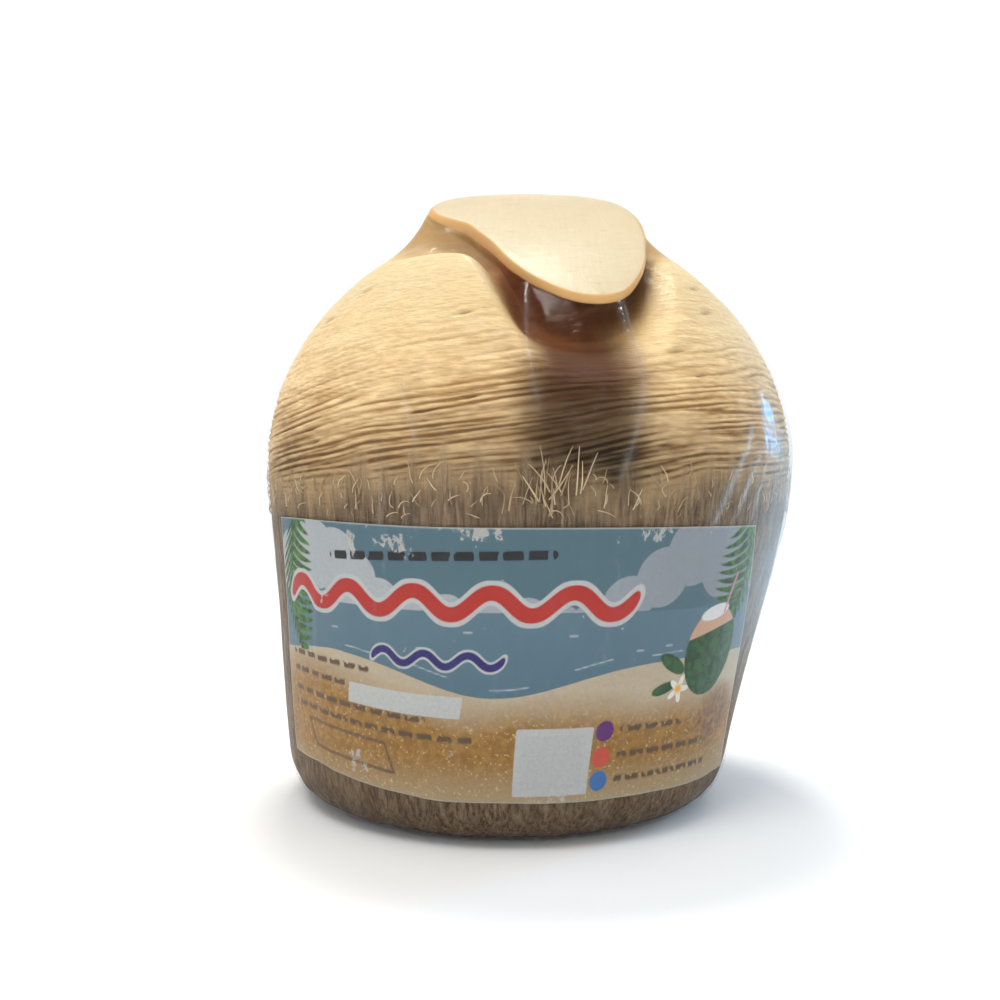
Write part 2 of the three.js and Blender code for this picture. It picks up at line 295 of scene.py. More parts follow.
def husk_stretches(azimuth, steps):
    """The husk's half sections: name -> array (azimuth, row, [radius, height])."""
    lip = lip_radius(azimuth)
    left_cut = bell(azimuth, LEFT_CUT_AZIMUTH, LEFT_CUT_SPREAD, 4)
    reach = np.maximum(0, lip - NECK_RADIUS)
    overhang = reach**2 / (reach + 4)
    tongue = smoothstep(overhang, 0, 9)
    plain_neck = (1 - tongue) * (1 - left_cut)
    edge_thickness = (
        TONGUE_THICKNESS
        + TONGUE_EDGE_EXTRA * bell(azimuth, -40, 42, 2)
        - 0.4 * smoothstep(np.abs(wrap_degrees(azimuth - 20)), 60, 120)
    )

    height = shoulder_height(azimuth)
    shoulder = pair(side_radius(height), height)
    below_shoulder = pair(side_radius(height - 0.5), height - 0.5)
    root_radius = lip - overhang - 0.3 - 1.2 * left_cut + 1.9 * plain_neck
    lip_height = top_height(azimuth, lip)
    plain_root = lip_height - edge_thickness - 1.2 - 1.8 * left_cut * (1 - tongue)
    tongue_root = top_height(azimuth, root_radius) - ROOT_DEPTH
    root = pair(root_radius, lerp(plain_root, tongue_root, tongue))
    chord = root - shoulder
    neck_length = np.linalg.norm(chord, axis=1)[:, None]
    from_shoulder = unit(lerp(unit(shoulder - below_shoulder), unit(chord), 0.65))
    into_root = unit(pair(-0.42 - 0.25 * tongue, 0.9 - 0.3 * tongue))

    edge = pair(lip - 0.15 + 0.9 * plain_neck, lip_height - edge_thickness)
    underside = np.linalg.norm(edge - root, axis=1)[:, None]
    root_top = top_height(azimuth, root_radius)
    along_tongue = unit(pair(lip - root_radius, lip_height - root_top))
    turned = np.where(overhang > 1, tongue, 0)[:, None]
    into_edge = unit(lerp(np.array([0.1, 1.0]), along_tongue, turned))
    top_radius = lip - LIP_ROUNDING
    top_edge = pair(top_radius, top_height(azimuth, top_radius))
    ring = top_radius[:, None] * (1 - np.asarray(steps["top"]))[None, :]
    return {
        "foot": foot_stretch(azimuth, steps["foot"]),
        "side": side_stretch(azimuth, steps["side"]),
        "neck": bezier(
            shoulder,
            shoulder + from_shoulder * 0.3 * neck_length,
            root - into_root * 0.33 * neck_length,
            root,
            steps["neck"],
        ),
        "underside": bezier(
            root,
            root + into_root * 0.35 * np.minimum(underside, 12),
            edge - into_edge * 0.5 * underside,
            edge,
            steps["underside"],
        ),
        "lip": bezier(
            edge,
            edge + pair(0.25, 0.3 * edge_thickness),
            top_edge + np.array([0.55, -0.3]),
            top_edge,
            steps["lip"],
        ),
        "top": pair(ring, top_height(azimuth[:, None], ring)),
    }


def offset(lines, distance):
    """Moves half sections outwards, square to themselves. distance has a value for each point."""
    before = np.concatenate([lines[:, :1], lines[:, :-1]], axis=1)
    after = np.concatenate([lines[:, 1:], lines[:, -1:]], axis=1)
    ahead = unit(after - before)
    outward = np.stack([ahead[..., 1], -ahead[..., 0]], axis=-1)
    return lines + outward * distance[..., None]


def place(azimuth, lines):
    """Half sections to points in space, in metres, with the foot's lean to -X."""
    angle = np.radians(azimuth)
    radius, height = lines[..., 0], lines[..., 1]
    lean = LEAN * smoothstep(LEAN_TOP - height, 0, LEAN_SPAN)
    x = radius * np.sin(angle) - lean
    y = -radius * np.cos(angle)
    return np.stack([x, y, height], axis=-1) * MM


# ---- Meshes from grids ----
def grid_faces(columns, rows, wrap, first=0, flip=False):
    """Quads over points numbered column by column from first."""
    last = columns if wrap else columns - 1
    column, row = np.meshgrid(np.arange(last), np.arange(rows - 1), indexing="ij")
    here, there = column * rows, (column + 1) % columns * rows
    quads = np.stack([here + row, there + row, there + row + 1, here + row + 1], axis=-1)
    quads = quads.reshape(-1, 4) + first
    return quads[:, ::-1] if flip else quads


def fan_faces(ring, centre):
    """Triangles from a closed ring of points to one in its middle."""
    return np.stack([ring, np.roll(ring, -1), np.full(len(ring), centre)], axis=-1)


def add_object(name, data):
    thing = bpy.data.objects.new(name, data)
    bpy.context.scene.collection.objects.link(thing)
    return thing


def make_mesh(name, points, faces, values=None):
    mesh = bpy.data.meshes.new(name)
    face_list = [tuple(face) for group in faces for face in group]
    mesh.from_pydata(np.asarray(points).reshape(-1, 3).tolist(), [], face_list)
    mesh.polygons.foreach_set("use_smooth", np.ones(len(mesh.polygons), bool))
    for key, value in (values or {}).items():
        attribute = mesh.attributes.new(key, "FLOAT", "POINT")
        attribute.data.foreach_set("value", np.asarray(value, np.float32).ravel())
    mesh.update()
    return add_object(name, mesh)


def shell_faces(columns, rows, wrap):
    """Faces of a thin closed shell: outer points first, then inner ones in the same order.

    One that wraps round has a pole at its rows' ends: its last two points, outer then inner.
    """
    count = columns * rows
    faces = [grid_faces(columns, rows, wrap), grid_faces(columns, rows, wrap, count, True)]
    start = np.arange(columns) * rows
    end = start + rows - 1
    if wrap:
        faces.append(fan_faces(end, 2 * count))
        faces.append(fan_faces(end + count, 2 * count + 1)[:, ::-1])
        rims = [np.append(start[::-1], start[-1])]
    else:
        rims = [start[::-1], end, np.arange(rows), count - 1 - np.arange(rows)]
    for rim in rims:
        near, ahead = rim[:-1], rim[1:]
        faces.append(np.stack([near, ahead, ahead + count, near + count], axis=-1))
    return faces


# ---- Husk surface ----
def grooves(azimuth, height):
    """The peeling tool's marks: tilted rings that wander, merge and break off. -1 to 0."""
    wander = 1.1 * noise(azimuth, height, 34, 12, 1) + 0.4 * noise(azimuth, height, 9, 5, 2)
    level = height - GROOVE_TILT * np.sin(np.radians(azimuth)) + wander
    depth = 0
    for pitch, share, seed in ((GROOVE_PITCH, 1.0, 3), (0.63 * GROOVE_PITCH, 0.55, 6)):
        phase = 2 * math.pi * level / pitch + 2.2 * noise(azimuth, level, 20, 3.2, seed)
        valley = (0.5 + 0.5 * np.cos(phase)) ** 2.2
        strength = np.clip(0.55 + 0.65 * noise(azimuth, level, 15, 1.9, seed + 1), 0, 1)
        depth = depth - share * valley * strength
    fine = 0.22 * noise(azimuth, level, 5, 0.8, 9) + 0.16 * noise(azimuth, height, 2, 0.6, 10)
    return np.clip(depth - 0.15 + fine, -1.2, 0)


def pits(azimuth, height):
    """Small torn hollows, longer than tall, scattered over the dome. -1 to 0."""
    chance = np.random.default_rng(11)
    depth = np.zeros(np.broadcast(azimuth, height).shape)
    for _ in range(PIT_COUNT):
        centre, level = chance.uniform(-180, 180), chance.uniform(78, 120)
        long, tall = chance.uniform(1.4, 3.4), chance.uniform(0.25, 0.45)
        around = np.radians(wrap_degrees(azimuth - centre)) * BELLY_RADIUS
        up = height - level - 0.13 * around
        depth -= chance.uniform(0.4, 1) * np.exp(-((around / long) ** 2) - (up / tall) ** 2)
    return np.clip(depth, -1, 0)


def fibre_share(azimuth, height):
    """1 on the stripped lower wall, 0 on the dome, with a ragged edge between."""
    ragged = 3.5 * noise(azimuth, height, 2.2, 20, 21) + 3.5 * noise(azimuth, height, 16, 60, 22)
    return 1 - smoothstep(height + ragged, FIBRE_TOP - 5, FIBRE_TOP + 7)


def fibres(azimuth, height):
    """Upright fibres of the stripped wall. -1 to 0."""
    coarse = noise(azimuth, height, 4.5, 34, 23)
    middle = noise(azimuth, height, 1.8, 16, 24)
    thin = noise(azimuth, height, 0.9, 9, 25)
    return -0.5 + 0.2 * coarse + 0.18 * middle + 0.12 * thin


def round_shoulder(lines, row):
    """Softens the bend where the neck starts, over the rows on either side of it."""
    tail = 13
    weights = blur_weights(tail, SHOULDER_BLUR)
    first, last = row - SHOULDER_REACH, row + SHOULDER_REACH
    part = lines[:, first - tail : last + tail]
    soft = sum(w * part[:, i : i + last - first] for i, w in enumerate(weights))
    share = bell(np.arange(-SHOULDER_REACH, SHOULDER_REACH), 0, 22, 4)[None, :, None]
    lines[:, first:last] = lerp(lines[:, first:last], soft, share)
    return lines


def husk_columns():
    """Azimuths of the husk's columns, closer together on the front."""
    scoop = np.arange(-25, 45, 0.4)
    return np.concatenate([np.arange(-110, -25, 0.6), scoop, np.arange(45, 250, 0.8)])


def husk_section(azimuth):
    """The husk's half sections, with each row's part and its share of the way up the neck."""
    steps = {name: even_steps(count) for name, count in HUSK_ROWS.items()}
    base_ring = BASE_RADIUS * (np.arange(BASE_ROWS) + 1) / (BASE_ROWS + 1)
    base = np.broadcast_to(pair(base_ring, 0), (len(azimuth), BASE_ROWS, 2))
    blocks = {"base": base, **husk_stretches(azimuth, steps)}
    lines = np.concatenate(list(blocks.values()), axis=1)
    part = np.repeat(list(blocks), [block.shape[1] for block in blocks.values()])
    up_neck = np.isin(part, ("underside", "lip", "top")).astype(float)
    up_neck[part == "neck"] = steps["neck"]
    for _ in range(SHOULDER_PASSES):
        lines = round_shoulder(lines, np.argmax(part == "neck"))
    return lines, part[None, :], up_neck[None, :]


def tongue_shadow_share(azimuth, height):
    """1 in the painted shadow that runs down below the tongue, less in its painted half shade."""
    tongue_shadow = bell(azimuth - 3 * smoothstep(height, 90, 102), TONGUE_SHADOW_AZIMUTH, 12, 5)
    shadow_fringe = 0.3 * bell(azimuth, 6, 26, 3) * (1 - smoothstep(height, 78, 92))
    foot = smoothstep(height + 4 * noise(azimuth, height, 6, 20, 33), 64, 76)
    return np.maximum(tongue_shadow, shadow_fringe) * foot


def make_husk():
    azimuth = husk_columns()
    lines, part, up_neck = husk_section(azimuth)
    around, height = azimuth[:, None], lines[..., 1]
    uncarved = (1 - smoothstep(up_neck, 0.05, 0.5)) * np.isin(part, ("side", "neck"))
    dome = uncarved * smoothstep(height, FIBRE_TOP - 4, FIBRE_TOP + 6)
    calm = 1 - 0.78 * smoothstep(height + 5 * noise(around, height, 30, 20, 31), 84, 110)
    fibre = fibre_share(around, height) * np.isin(part, ("foot", "side"))
    groove = grooves(around, height) * (1 - fibre) * calm
    pit = pits(around, height)
    strand = fibres(around, height) * fibre
    relief = dome * (GROOVE_DEPTH * groove + PIT_DEPTH * pit) + FIBRE_DEPTH * strand
    relief += 0.1 * (1 - smoothstep(height, 0, 6)) * noise(around, height, 2.5, 6, 32)
    # Painted shade in the recess under the tongue, and fainter up the neck to its left.
    hollow_shade = smoothstep(up_neck, 0.3, 0.95) * np.isin(part, ("neck", "underside"))
    hollow_shade = hollow_shade * np.maximum(bell(around, 8, 42, 3), 0.2 * bell(around, -45, 45, 4))

    lines = offset(lines, relief)
    lift = BASE_LIFT * (1 - smoothstep(height, 0, 5)) * np.isin(part, ("base", "foot"))
    lines[..., 1] = np.maximum(lines[..., 1] + lift, BASE_LIFT)
    columns, rows = height.shape
    poles = np.array([[-LEAN, 0, BASE_LIFT], [0, 0, TOP_HEIGHT]]) * MM
    points = np.vstack([place(around, lines).reshape(-1, 3), poles])
    start = np.arange(columns) * rows
    faces = [
        grid_faces(columns, rows, True),
        fan_faces(start, columns * rows)[:, ::-1],
        fan_faces(start + rows - 1, columns * rows + 1),
    ]
    layers = {
        "groove": groove * dome + 0.5 * pit * dome,
        "fibre": fibre,
        "strand": strand,
        "cut": 1 - np.maximum(uncarved, fibre),
        "lip": part == "lip",
        "top": part == "top",
        "hollow_shade": hollow_shade,
        # Painted shadow below the tongue.
        "tongue_shadow": tongue_shadow_share(around, height) * (part != "top"),
    }
    at_poles = {"fibre": (1, 0), "cut": (0, 1), "top": (0, 1)}
    values = {
        key: np.append(np.broadcast_to(layer, height.shape), at_poles.get(key, (0, 0)))
        for key, layer in layers.items()
    }
    return make_mesh("husk_surface", points, faces, values)


# ---- Label ----
def make_label():
    across = np.linspace(0, 1, LABEL_COLUMNS)[:, None]
    up = np.linspace(0, 1, LABEL_ROWS)[None, :]
    end = lerp(LABEL_END_BOTTOM, LABEL_END_TOP, up)
    azimuth = LABEL_START + across * (end - LABEL_START)
    towards_start = smoothstep(-azimuth, 10, 64)
    bottom = LABEL_BOTTOM + LABEL_BOTTOM_RISE * towards_start
    top = LABEL_TOP + LABEL_TOP_RISE * towards_start
    height = lerp(bottom, top, up) + 0.2 * noise(azimuth, 0, 9, 50, 41) * (1 - up)
    wrinkle = 0.16 * noise(azimuth, height, 3.2, 45, 42) * bell(azimuth, -47, 9, 2)
    wrinkle += 0.05 * noise(azimuth, height, 6, 30, 43) + 0.05 * noise(azimuth, height, 2, 9, 44)
    wall = pair(side_radius(height), height)
    inner = offset(wall, LABEL_GAP + wrinkle)
    outer = offset(wall, LABEL_GAP + LABEL_THICKNESS + wrinkle)
    points = np.concatenate([place(azimuth, outer), place(azimuth, inner)])
    faces = shell_faces(LABEL_COLUMNS, LABEL_ROWS, False)
    edge = intersection([across * 112, (1 - across) * 112, up * 54, (1 - up) * 54])
    layers = label_layers(azimuth * ART_SCALE, height - (bottom - LABEL_BOTTOM) * (1 - up))
    layers["edge"] = np.broadcast_to(edge, azimuth.shape)
    values = {key: np.tile(value.ravel(), 2) for key, value in layers.items()}
    return make_mesh("label_sheet", points, faces, values)


def disc_layer(x, z, centre_x, centre_z, radius):
    """Millimetres inside the disc's edge, negative outside it. The layers below are the same."""
    return radius - np.hypot(x - centre_x, z - centre_z)


def oval_layer(x, z, centre_x, centre_z, half_width, half_height, turn=0.0):
    turn = math.radians(turn)
    cos, sin = math.cos(turn), math.sin(turn)
    along = ((x - centre_x) * cos + (z - centre_z) * sin) / half_width
    over = (-(x - centre_x) * sin + (z - centre_z) * cos) / half_height
    return (1 - np.hypot(along, over)) * min(half_width, half_height)


def box_layer(x, z, left, right, low, high, slant=0.0):
    shifted = x - slant * (z - low)
    return intersection([shifted - left, right - shifted, z - low, high - z])


def line_layer(x, z, left, right, level, half_width):
    """A line that follows the level, which may have a value for each point."""
    beyond = np.maximum(0, np.maximum(left - x, x - right))
    return half_width - np.hypot(beyond, z - level)


def wave_layer(x, z, left, right, level, rise, length, half_width):
    turn = 2 * math.pi * (x - left) / length
    slope = rise * 2 * math.pi / length * np.cos(turn)
    away = (z - level - rise * np.sin(turn)) / np.sqrt(1 + slope**2)
    return half_width - np.hypot(np.maximum(0, np.maximum(left - x, x - right)), away)


def union(layers):
    return functools.reduce(np.maximum, layers)


def intersection(layers):
    return functools.reduce(np.minimum, layers)


def cloud_layer(x, z):
    return np.minimum(union([disc_layer(x, z, *puff) for puff in CLOUD_PUFFS]), z - CLOUD_BASE)


def frond_layer(x, z, stem_x, top, bottom, bow, reach):
    """A palm frond: pointed leaves off a bowed stem that hangs from the label's top.

    The longer leaves point to +x, or to -x where bow and reach are negative.
    """
    share = np.clip((top - z) / (top - bottom), 0, 1)
    away = (x - stem_x + bow * np.sin(math.pi * share)) * math.copysign(1, reach)
    spread = np.abs(away)
    droop = np.where(away > 0, 1.0 - 0.9 * share, 1.5)
    leaf = z + droop * spread - 0.035 * spread**2
    blade = 0.4 + 0.5 * np.cos(2 * math.pi * leaf / 2.3)
    length = np.where(away > 0, abs(reach), 4.5)
    length = length * np.sqrt(np.sin(math.pi * np.clip(share, 0.08, 0.97)))
    leaves = 0.6 * (blade - 0.75 * (spread / length) ** 3)
    return np.minimum(np.maximum(leaves, 0.35 - spread), z - bottom)


def flower_layers(x, z):
    """Five petals and their eye."""
    middle_x, middle_z = FLOWER
    turn = np.arctan2(z - middle_z, x - middle_x)
    return {
        "petals": 2.0 + 1.1 * np.cos(5 * turn) - np.hypot(x - middle_x, z - middle_z),
        "flower_eye": disc_layer(x, z, middle_x, middle_z, 0.95),
    }


def nut_layers(x, z):
    """A green drinking nut with a pale cut top, a straw and two leaves."""
    nut = oval_layer(x, z, 45.2, 39.0, 8.2, 9.4, 12)
    left_leaf = oval_layer(x, z, 34.0, 37.2, 4.2, 1.5, -28)
    low_leaf = oval_layer(x, z, 32.8, 32.2, 3.2, 1.2, 14)
    return {
        "nut": nut,
        "nut_top": np.minimum(nut, z - 43.6 - 0.25 * (x - 45)),
        "nut_hole": oval_layer(x, z, 43.8, 47.2, 4.4, 1.5, 12),
        "straw": line_layer(z, x, 47, 55, 46.8 + 0.22 * (z - 47), 0.28),
        "leaves": np.maximum(left_leaf, low_leaf),
    }


def bar_layer(x, z):
    """Broken bars where small print would be, and an empty frame."""
    broken = 0.35 * np.sin(x * 2.1) * np.sin(x * 0.73 + z) > -0.12
    bars = union([line_layer(x, z, *row, 0.62) for row in BAR_ROWS]) - (1 - broken)
    frame_box = box_layer(x, z, -52, -27, 14.6, 20.4, -0.4)
    return np.maximum(bars, 0.32 - np.abs(frame_box))


def rubbed_share(x, z):
    return union([
        np.exp(-(((x - spot_x) / width) ** 2) - ((z - spot_z) / 3) ** 2)
        for spot_x, spot_z, width in RUBS
    ])


def label_layers(x, z):
    """The print, plain and without lettering: a beach, fronds, a nut, a flower and panels."""
    shore = 38.3 - 6.6 * np.exp(-(((x + 5) / 21) ** 2)) - 2.6 * smoothstep(-x, 42, 66)
    foam = [
        line_layer(x, z, left, left + 8, shore + 1.6 + i % 2, 0.16)
        for i, left in enumerate(range(-40, 62, 17))
    ]
    foam += [line_layer(x, z, left, left + 1.6, level, 0.22) for left, level in RIPPLES]
    left_frond = frond_layer(x, z, -56, 68, 36, 4, 9)
    right_frond = frond_layer(x, z, 49, 66, 44, -3, -10)
    date_panel = box_layer(x, z, -39.3, -11.8, 27.4, 31.8, 0.1)
    square_panel = box_layer(x, z, 0.4, 17.2, 11.9, 25.6)
    return {
        "rubbed": rubbed_share(x, z),
        "sea": 48.4 - z,
        "cloud": cloud_layer(x, z),
        "sand": shore - z,
        "gold": 27 + 4.5 * smoothstep(-x, 10, 50) - z,
        "foam": union(foam),
        "patch": oval_layer(x, z, 53, 24.5, 9, 8),
        "fronds": np.maximum(left_frond, right_frond),
        "panel": np.maximum(date_panel, square_panel),
        "panel_inset": box_layer(x, z, 2.0, 15.6, 13.3, 24.2),
        "red": wave_layer(x, z, -59, 21, 50.2, 2.2, 16.0, 1.5),
        "navy": wave_layer(x, z, -32, -4, 38.9, 1.2, 9.4, 0.75),
        "dark": line_layer(x, z, -43, 4, 59.6 + 0.02 * x, 0.9) - 2 * (np.sin(x * 1.35) < -0.86),
        "bars": bar_layer(x, z),
        "disc_violet": disc_layer(x, z, DISC_X, 24.6, DISC_RADIUS),
        "disc_red": disc_layer(x, z, DISC_X, 19.3, DISC_RADIUS),
        "disc_blue": disc_layer(x, z, DISC_X, 14.4, DISC_RADIUS),
        **nut_layers(x, z),
        **flower_layers(x, z),
    }


# ---- Film ----
def label_cover(azimuth, height):
    angle = wrap_degrees(azimuth)
    right_of_start = smoothstep(angle, LABEL_START - 7, LABEL_START - 1)
    left_of_end = 1 - smoothstep(angle, LABEL_END_BOTTOM + 1, LABEL_END_BOTTOM + 7)
    above_bottom = smoothstep(height, LABEL_BOTTOM - 7, LABEL_BOTTOM - 1)
    below_top = 1 - smoothstep(height, LABEL_TOP + 3, LABEL_TOP + 7)
    return right_of_start * left_of_end * above_bottom * below_top


def film_columns():
    return np.concatenate([np.arange(-84, 84, 0.5), np.arange(84, 276, 1.5)])


def film_line(azimuth):
    """Where taut film runs: up the wall, straight from the dome to the lip, over the top."""
    steps = {name: even_steps(count) for name, count in FILM_ROWS.items()}
    parts = husk_stretches(azimuth, steps)
    side, edge = parts["side"], parts["lip"][:, 0]
    angle = np.arctan2(side[..., 0] - edge[:, :1], edge[:, 1:] - side[..., 1])
    touch = side[np.arange(len(azimuth)), np.argmax(angle, axis=1), 1]
    tail = 12
    padded = np.concatenate([touch[-tail:], touch, touch[:tail]])
    touch = np.convolve(padded, blur_weights(tail, 5), "valid")
    height = lerp(WALL_FOOT_HEIGHT, touch[:, None], even_steps(HUGGING_ROWS)[None, :])
    hugging = pair(side_radius(height), height)
    foot_of_tent = pair(side_radius(touch), touch)
    tent = lerp(foot_of_tent[:, None], edge[:, None], even_steps(TENT_ROWS)[None, :, None])
    return np.concatenate([parts["foot"], hugging, tent, parts["lip"], parts["top"]], axis=1)


def crease(azimuth, height, start, end, low, high, width):
    """A fold that runs down from the tongue. 0 to 1, sharp on its crest."""
    share = np.clip((high - height) / (high - low), 0, 1)
    middle = start + (end - start) * share + 0.6 * np.sin(height / 6)
    crest = np.exp(-np.abs(wrap_degrees(azimuth - middle)) / width)
    return crest * smoothstep(height, low, low + 8) * (1 - smoothstep(height, high, high + 3))


def film_layers(around, height, fold, on_wall, off_top):
    """What the film's material paints: folds, two kinds of haze with a painted sheen, and
    smoother spots.
    """
    haze = 0.5 + 0.5 * noise(around, height, 2.2, 34, 54)
    haze *= 0.4 + 0.6 * smoothstep(noise(around, height, 16, 30, 55), -0.2, 0.7)
    haze *= 1 - smoothstep(height, 94, 108)
    # On the right side: haze, the pull marks, and a painted pale blue sheen.
    side_haze_and_sheen = smoothstep(around, 36, 62) * (1 - smoothstep(around, 98, 128))
    fading = 1 - 0.6 * smoothstep(height, 76, 92) - 0.4 * smoothstep(height, 98, 118)
    side_haze_and_sheen = side_haze_and_sheen * smoothstep(height, 14, 60) * fading
    side_haze_and_sheen = side_haze_and_sheen * (0.7 + 0.3 * noise(around, height, 12, 24, 56))
    pull_marks = union([crease(around, height, *mark) for mark in PULL_MARKS])
    glint = union([
        np.exp(-((wrap_degrees(around - spot) / wide) ** 2) - ((height - level) / tall) ** 2)
        for spot, level, wide, tall in GLINTS
    ])
    return {
        "fold": fold,
        "haze": haze * on_wall,
        "side_haze_and_sheen": np.maximum(side_haze_and_sheen, pull_marks) * off_top,
        "glint": glint * off_top,
    }


def film_gap(around, height, fold, on_wall):
    """How far the film stands off the husk."""
    ripple = 0.07 * noise(around, height, 1.6, 26, 51) + 0.06 * noise(around, height, 5, 14, 52)
    low_pleats = 0.22 * noise(around, height, 2.4, 30, 53) * (1 - smoothstep(height, 6, 14))
    low, high = STRAND_BAND
    band = smoothstep(height, low - 6, low + 4) * (1 - smoothstep(height, high - 2, high + 10))
    lift = LABEL_LIFT * label_cover(around, height) + STRAND_LIFT * band
    return FILM_GAP + lift + 0.4 * fold + ripple * on_wall + low_pleats


def make_film():
    azimuth = film_columns()
    lines = film_line(azimuth)
    around, height = azimuth[:, None], lines[..., 1]
    columns, rows = height.shape
    off_top = (np.arange(rows) < rows - FILM_ROWS["top"])[None, :]
    on_wall = smoothstep(height, 4, 20) * (1 - smoothstep(height, 118, 132)) * off_top
    fold = union([crease(around, height, *mark) for mark in CREASES]) * off_top
    gap = film_gap(around, height, fold, on_wall)
    outer = offset(lines, gap + FILM_THICKNESS)
    inner = offset(lines, gap)
    for skin, lowest in ((outer, 0.02), (inner, 0.06)):
        skin[..., 1] = np.maximum(skin[..., 1], lowest)
    top = [[0, 0, TOP_HEIGHT + FILM_GAP + FILM_THICKNESS], [0, 0, TOP_HEIGHT + FILM_GAP]]
    skins = [place(around, skin).reshape(-1, 3) for skin in (outer, inner)]
    points = np.vstack([*skins, np.array(top) * MM])
    values = {
        key: np.concatenate([layer.ravel(), np.zeros(layer.size + 2)])
        for key, layer in film_layers(around, height, fold, on_wall, off_top).items()
    }
    values["outside"] = np.concatenate([np.ones(height.size), np.zeros(height.size), [1, 0]])
    return make_mesh("film_skin", points, shell_faces(columns, rows, True), values)


# ---- Loose fibres ----
def strand_path(chance, azimuth, height, length, curl):
    """Points of one torn fibre that stands up from the wall and leans on the film."""
    heading = chance.normal(0.05, 0.6 - 0.045 * length)
    stride = length / 8
    path = []
    for step in range(9):
        lift = 0.08 + 0.32 * math.sin(math.pi * min(1, step / 5)) * chance.uniform(0.5, 1)
        up = height + np.arange(3) * 0.5
        spot = offset(pair(side_radius(up), up)[None], np.full((1, 3), lift))
        path.append(place(np.array([azimuth]), spot[:, 1:2])[0, 0])
        azimuth += math.degrees(math.sin(heading) * stride / BELLY_RADIUS)
        height += math.cos(heading) * stride
        heading += curl * chance.uniform(0.4, 1.2)
    return np.array(path)


def tube(path, radius):
    """Points and faces of a thin tapering tube along the path."""
    sides = 5
    ahead = unit(np.gradient(path, axis=0))
    across = unit(np.cross(ahead, [0.31, 0.77, 0.55]))[:, None]
    over = np.cross(ahead[:, None], across)
    turn = (2 * math.pi * np.arange(sides) / sides)[None, :, None]
    taper = radius * (1 - 0.65 * np.linspace(0, 1, len(path)) ** 2)
    points = path[:, None] + (np.cos(turn) * across + np.sin(turn) * over) * taper[:, None, None]
    first = np.arange(len(path) - 1)[:, None] * sides
    near, following = first + np.arange(sides), first + (np.arange(sides) + 1) % sides
    quads = np.stack([near, following, following + sides, near + sides], axis=-1)
    start, end = list(range(sides)), (len(path) - 1) * sides
    caps = [start[::-1], [end + corner for corner in start]]
    return points.reshape(-1, 3), quads.reshape(-1, 4).tolist() + caps


def make_strands():
    chance = np.random.default_rng(61)
    points, faces, tones = [], [], []
    first = 0
    for index in range(STRAND_COUNT):
        tuft = index < STRAND_COUNT * TUFT_SHARE
        azimuth = chance.normal(4.5, 3.6) if tuft else chance.uniform(-180, 180)
        height = chance.uniform(66, 73) if tuft else chance.uniform(66, 74)
        length = chance.uniform(4, 10) if tuft else chance.uniform(1.2, 4.5)
        curl = chance.normal(0, 0.06) if tuft else chance.normal(0, 0.16)
        path = strand_path(chance, azimuth, height, length, curl)
        spots, quads = tube(path, chance.uniform(0.08, 0.2 if tuft else 0.13) * MM)
        points.append(spots)
        faces.append([[corner + first for corner in face] for face in quads])
        tones.append(np.full(len(spots), chance.uniform()))
        first += len(spots)
    return make_mesh("loose_fibres", np.vstack(points), faces, {"tone": np.concatenate(tones)})


# ---- Materials ----
def rgb(red, green, blue):
    """Screen values of 0 to 255 as a linear colour."""
    share = np.array([red, green, blue]) / 255
    linear = np.where(share < 0.04045, share / 12.92, ((share + 0.055) / 1.055) ** 2.4)
    return (*linear.tolist(), 1.0)


